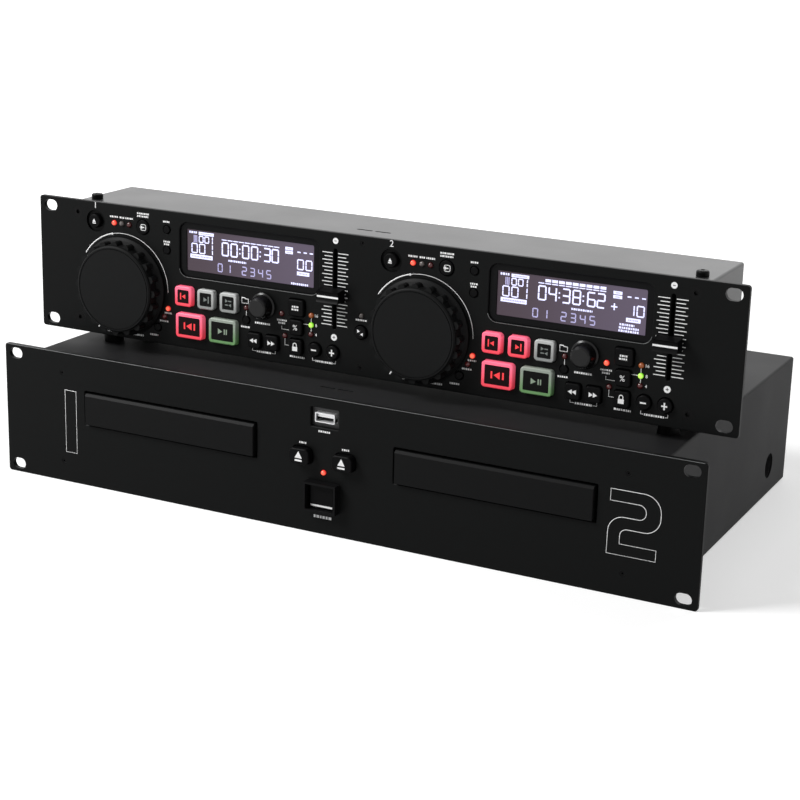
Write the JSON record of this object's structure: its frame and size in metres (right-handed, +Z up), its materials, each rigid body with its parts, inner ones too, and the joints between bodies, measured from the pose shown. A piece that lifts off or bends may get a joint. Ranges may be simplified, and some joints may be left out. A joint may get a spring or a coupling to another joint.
{
  "type": "dual disc player with separate control unit",
  "caption": "Rack-mounted disc player: a drive unit with side-by-side sliding trays, and a control unit with jog wheels, displays, lit keys and pitch faders standing on it.",
  "frame": {"origin": "middle of the bottom of the whole's bounding box, where the drive unit's pads stand", "axes": "+X to the right along both rack panels, +Y to the back (the panels face -Y), +Z up"},
  "size_m": [0.4886, 0.2716, 0.184],
  "materials": {
    "panel_paint": "satin black powder coat",
    "case_paint": "fine matt grey-black powder coat",
    "plated_sheet": "zinc-plated sheet",
    "screw_steel": "black oxide",
    "display_glass": "clear window over a grey display",
    "board": "green circuit board with parts",
    "socket_plastic": "black moulded plastic",
    "loader_plastic": "dark moulded plastic",
    "tray_plastic": "satin black",
    "translucent_key": "milky with a dark pane",
    "black_plastic": "satin"
  },
  "bodies": {
    "drive_unit": {"drive_front_panel": "panel_paint", "drive_chassis": "plated_sheet", "drive_cover": "case_paint", "disc_loaders": "loader_plastic", "drive_electronics": "board", "drive_sockets": "socket_plastic", "drive_screws_and_feet": "screw_steel"},
    "control_unit": {"control_front_panel": "panel_paint", "control_case": "case_paint", "control_displays": "display_glass", "control_board": "board", "control_screws_and_feet": "screw_steel"},
    "bend_down_button_1": {"bend_down_button_1": "black_plastic"},
    "bend_down_button_2": {"bend_down_button_2": "black_plastic"},
    "bend_up_button_1": {"bend_up_button_1": "black_plastic"},
    "bend_up_button_2": {"bend_up_button_2": "black_plastic"},
    "cue_key_1": {"cue_key_1": "translucent_key"},
    "cue_key_2": {"cue_key_2": "translucent_key"},
    "disc_tray_1": {"disc_tray_1": "tray_plastic"},
    "disc_tray_2": {"disc_tray_2": "tray_plastic"},
    "eject_button_1": {"eject_button_1": "black_plastic"},
    "eject_button_2": {"eject_button_2": "black_plastic"},
    "eject_key_1": {"eject_key_1": "black_plastic"},
    "eject_key_2": {"eject_key_2": "black_plastic"},
    "folder_button_1": {"folder_button_1": "black_plastic"},
    "folder_button_2": {"folder_button_2": "black_plastic"},
    "jog_mode_button_1": {"jog_mode_button_1": "black_plastic"},
    "jog_mode_button_2": {"jog_mode_button_2": "black_plastic"},
    "jog_wheel_1": {"jog_wheel_1": "black_plastic"},
    "jog_wheel_2": {"jog_wheel_2": "black_plastic"},
    "key_lock_button_1": {"key_lock_button_1": "black_plastic"},
    "key_lock_button_2": {"key_lock_button_2": "black_plastic"},
    "loop_in_key_1": {"loop_in_key_1": "translucent_key"},
    "loop_in_key_2": {"loop_in_key_2": "translucent_key"},
    "loop_out_key_1": {"loop_out_key_1": "translucent_key"},
    "loop_out_key_2": {"loop_out_key_2": "translucent_key"},
    "pitch_fader_1": {"pitch_fader_1": "black_plastic"},
    "pitch_fader_2": {"pitch_fader_2": "black_plastic"},
    "pitch_range_button_1": {"pitch_range_button_1": "black_plastic"},
    "pitch_range_button_2": {"pitch_range_button_2": "black_plastic"},
    "play_key_1": {"play_key_1": "translucent_key"},
    "play_key_2": {"play_key_2": "translucent_key"},
    "power_button": {"power_button": "black_plastic"},
    "relay_button": {"relay_button": "black_plastic"},
    "reloop_key_1": {"reloop_key_1": "translucent_key"},
    "reloop_key_2": {"reloop_key_2": "translucent_key"},
    "search_back_button_1": {"search_back_button_1": "black_plastic"},
    "search_back_button_2": {"search_back_button_2": "black_plastic"},
    "search_forward_button_1": {"search_forward_button_1": "black_plastic"},
    "search_forward_button_2": {"search_forward_button_2": "black_plastic"},
    "single_button_1": {"single_button_1": "black_plastic"},
    "single_button_2": {"single_button_2": "black_plastic"},
    "source_button_1": {"source_button_1": "black_plastic"},
    "source_button_2": {"source_button_2": "black_plastic"},
    "tap_button_1": {"tap_button_1": "black_plastic"},
    "tap_button_2": {"tap_button_2": "black_plastic"},
    "time_button_1": {"time_button_1": "black_plastic"},
    "time_button_2": {"time_button_2": "black_plastic"},
    "track_knob_1": {"track_knob_1": "black_plastic"},
    "track_knob_2": {"track_knob_2": "black_plastic"}
  },
  "joints": [
    {"name": "control_unit_lift", "type": "slide", "parent": "drive_unit", "child": "control_unit", "axis": [0, 0, 1], "range_m": [0, 0.12]},
    {"name": "disc_tray_1_slide", "type": "slide", "parent": "drive_unit", "child": "disc_tray_1", "axis": [0, -1, 0], "range_m": [0, 0.142]},
    {"name": "disc_tray_2_slide", "type": "slide", "parent": "drive_unit", "child": "disc_tray_2", "axis": [0, -1, 0], "range_m": [0, 0.142]},
    {"name": "eject_button_1_press", "type": "slide", "parent": "drive_unit", "child": "eject_button_1", "axis": [0, 1, 0], "range_m": [0, 0.0012], "stiffness_N_per_m": 300},
    {"name": "eject_button_2_press", "type": "slide", "parent": "drive_unit", "child": "eject_button_2", "axis": [0, 1, 0], "range_m": [0, 0.0012], "stiffness_N_per_m": 300},
    {"name": "power_button_press", "type": "slide", "parent": "drive_unit", "child": "power_button", "axis": [0, 1, 0], "range_m": [0, 0.0025], "stiffness_N_per_m": 300},
    {"name": "relay_button_press", "type": "slide", "parent": "control_unit", "child": "relay_button", "axis": [0, 1, 0], "range_m": [0, 0.0008], "stiffness_N_per_m": 200},
    {"name": "jog_wheel_1_turn", "type": "hinge", "parent": "control_unit", "child": "jog_wheel_1", "pos_m": [-0.1727, -0.09675, 0.1289], "axis": [0, -1, 0], "continuous": true},
    {"name": "track_knob_1_turn", "type": "hinge", "parent": "control_unit", "child": "track_knob_1", "pos_m": [-0.0662, -0.09675, 0.1298], "axis": [0, -1, 0], "continuous": true},
    {"name": "pitch_fader_1_slide", "type": "slide", "parent": "control_unit", "child": "pitch_fader_1", "axis": [0, 0, 1], "range_m": [-0.01965, 0.02565]},
    {"name": "eject_key_1_press", "type": "slide", "parent": "control_unit", "child": "eject_key_1", "axis": [0, 1, 0], "range_m": [0, 0.0008], "stiffness_N_per_m": 200},
    {"name": "source_button_1_press", "type": "slide", "parent": "control_unit", "child": "source_button_1", "axis": [0, 1, 0], "range_m": [0, 0.0008], "stiffness_N_per_m": 200},
    {"name": "time_button_1_press", "type": "slide", "parent": "control_unit", "child": "time_button_1", "axis": [0, 1, 0], "range_m": [0, 0.0008], "stiffness_N_per_m": 200},
    {"name": "single_button_1_press", "type": "slide", "parent": "control_unit", "child": "single_button_1", "axis": [0, 1, 0], "range_m": [0, 0.0008], "stiffness_N_per_m": 200},
    {"name": "jog_mode_button_1_press", "type": "slide", "parent": "control_unit", "child": "jog_mode_button_1", "axis": [0, 1, 0], "range_m": [0, 0.0008], "stiffness_N_per_m": 200},
    {"name": "loop_in_key_1_press", "type": "slide", "parent": "control_unit", "child": "loop_in_key_1", "axis": [0, 1, 0], "range_m": [0, 0.0008], "stiffness_N_per_m": 200},
    {"name": "loop_out_key_1_press", "type": "slide", "parent": "control_unit", "child": "loop_out_key_1", "axis": [0, 1, 0], "range_m": [0, 0.0008], "stiffness_N_per_m": 200},
    {"name": "reloop_key_1_press", "type": "slide", "parent": "control_unit", "child": "reloop_key_1", "axis": [0, 1, 0], "range_m": [0, 0.0008], "stiffness_N_per_m": 200},
    {"name": "cue_key_1_press", "type": "slide", "parent": "control_unit", "child": "cue_key_1", "axis": [0, 1, 0], "range_m": [0, 0.0008], "stiffness_N_per_m": 200},
    {"name": "play_key_1_press", "type": "slide", "parent": "control_unit", "child": "play_key_1", "axis": [0, 1, 0], "range_m": [0, 0.0008], "stiffness_N_per_m": 200},
    {"name": "folder_button_1_press", "type": "slide", "parent": "control_unit", "child": "folder_button_1", "axis": [0, 1, 0], "range_m": [0, 0.0008], "stiffness_N_per_m": 200},
    {"name": "search_back_button_1_press", "type": "slide", "parent": "control_unit", "child": "search_back_button_1", "axis": [0, 1, 0], "range_m": [0, 0.0008], "stiffness_N_per_m": 200},
    {"name": "search_forward_button_1_press", "type": "slide", "parent": "control_unit", "child": "search_forward_button_1", "axis": [0, 1, 0], "range_m": [0, 0.0008], "stiffness_N_per_m": 200},
    {"name": "tap_button_1_press", "type": "slide", "parent": "control_unit", "child": "tap_button_1", "axis": [0, 1, 0], "range_m": [0, 0.0008], "stiffness_N_per_m": 200},
    {"name": "pitch_range_button_1_press", "type": "slide", "parent": "control_unit", "child": "pitch_range_button_1", "axis": [0, 1, 0], "range_m": [0, 0.0008], "stiffness_N_per_m": 200},
    {"name": "key_lock_button_1_press", "type": "slide", "parent": "control_unit", "child": "key_lock_button_1", "axis": [0, 1, 0], "range_m": [0, 0.0008], "stiffness_N_per_m": 200},
    {"name": "bend_down_button_1_press", "type": "slide", "parent": "control_unit", "child": "bend_down_button_1", "axis": [0, 1, 0], "range_m": [0, 0.0008], "stiffness_N_per_m": 200},
    {"name": "bend_up_button_1_press", "type": "slide", "parent": "control_unit", "child": "bend_up_button_1", "axis": [0, 1, 0], "range_m": [0, 0.0008], "stiffness_N_per_m": 200},
    {"name": "jog_wheel_2_turn", "type": "hinge", "parent": "control_unit", "child": "jog_wheel_2", "pos_m": [0.0437, -0.09675, 0.1289], "axis": [0, -1, 0], "continuous": true},
    {"name": "track_knob_2_turn", "type": "hinge", "parent": "control_unit", "child": "track_knob_2", "pos_m": [0.1502, -0.09675, 0.1298], "axis": [0, -1, 0], "continuous": true},
    {"name": "pitch_fader_2_slide", "type": "slide", "parent": "control_unit", "child": "pitch_fader_2", "axis": [0, 0, 1], "range_m": [-0.01965, 0.02565]},
    {"name": "eject_key_2_press", "type": "slide", "parent": "control_unit", "child": "eject_key_2", "axis": [0, 1, 0], "range_m": [0, 0.0008], "stiffness_N_per_m": 200},
    {"name": "source_button_2_press", "type": "slide", "parent": "control_unit", "child": "source_button_2", "axis": [0, 1, 0], "range_m": [0, 0.0008], "stiffness_N_per_m": 200},
    {"name": "time_button_2_press", "type": "slide", "parent": "control_unit", "child": "time_button_2", "axis": [0, 1, 0], "range_m": [0, 0.0008], "stiffness_N_per_m": 200},
    {"name": "single_button_2_press", "type": "slide", "parent": "control_unit", "child": "single_button_2", "axis": [0, 1, 0], "range_m": [0, 0.0008], "stiffness_N_per_m": 200},
    {"name": "jog_mode_button_2_press", "type": "slide", "parent": "control_unit", "child": "jog_mode_button_2", "axis": [0, 1, 0], "range_m": [0, 0.0008], "stiffness_N_per_m": 200},
    {"name": "loop_in_key_2_press", "type": "slide", "parent": "control_unit", "child": "loop_in_key_2", "axis": [0, 1, 0], "range_m": [0, 0.0008], "stiffness_N_per_m": 200},
    {"name": "loop_out_key_2_press", "type": "slide", "parent": "control_unit", "child": "loop_out_key_2", "axis": [0, 1, 0], "range_m": [0, 0.0008], "stiffness_N_per_m": 200},
    {"name": "reloop_key_2_press", "type": "slide", "parent": "control_unit", "child": "reloop_key_2", "axis": [0, 1, 0], "range_m": [0, 0.0008], "stiffness_N_per_m": 200},
    {"name": "cue_key_2_press", "type": "slide", "parent": "control_unit", "child": "cue_key_2", "axis": [0, 1, 0], "range_m": [0, 0.0008], "stiffness_N_per_m": 200},
    {"name": "play_key_2_press", "type": "slide", "parent": "control_unit", "child": "play_key_2", "axis": [0, 1, 0], "range_m": [0, 0.0008], "stiffness_N_per_m": 200},
    {"name": "folder_button_2_press", "type": "slide", "parent": "control_unit", "child": "folder_button_2", "axis": [0, 1, 0], "range_m": [0, 0.0008], "stiffness_N_per_m": 200},
    {"name": "search_back_button_2_press", "type": "slide", "parent": "control_unit", "child": "search_back_button_2", "axis": [0, 1, 0], "range_m": [0, 0.0008], "stiffness_N_per_m": 200},
    {"name": "search_forward_button_2_press", "type": "slide", "parent": "control_unit", "child": "search_forward_button_2", "axis": [0, 1, 0], "range_m": [0, 0.0008], "stiffness_N_per_m": 200},
    {"name": "tap_button_2_press", "type": "slide", "parent": "control_unit", "child": "tap_button_2", "axis": [0, 1, 0], "range_m": [0, 0.0008], "stiffness_N_per_m": 200},
    {"name": "pitch_range_button_2_press", "type": "slide", "parent": "control_unit", "child": "pitch_range_button_2", "axis": [0, 1, 0], "range_m": [0, 0.0008], "stiffness_N_per_m": 200},
    {"name": "key_lock_button_2_press", "type": "slide", "parent": "control_unit", "child": "key_lock_button_2", "axis": [0, 1, 0], "range_m": [0, 0.0008], "stiffness_N_per_m": 200},
    {"name": "bend_down_button_2_press", "type": "slide", "parent": "control_unit", "child": "bend_down_button_2", "axis": [0, 1, 0], "range_m": [0, 0.0008], "stiffness_N_per_m": 200},
    {"name": "bend_up_button_2_press", "type": "slide", "parent": "control_unit", "child": "bend_up_button_2", "axis": [0, 1, 0], "range_m": [0, 0.0008], "stiffness_N_per_m": 200}
  ]
}
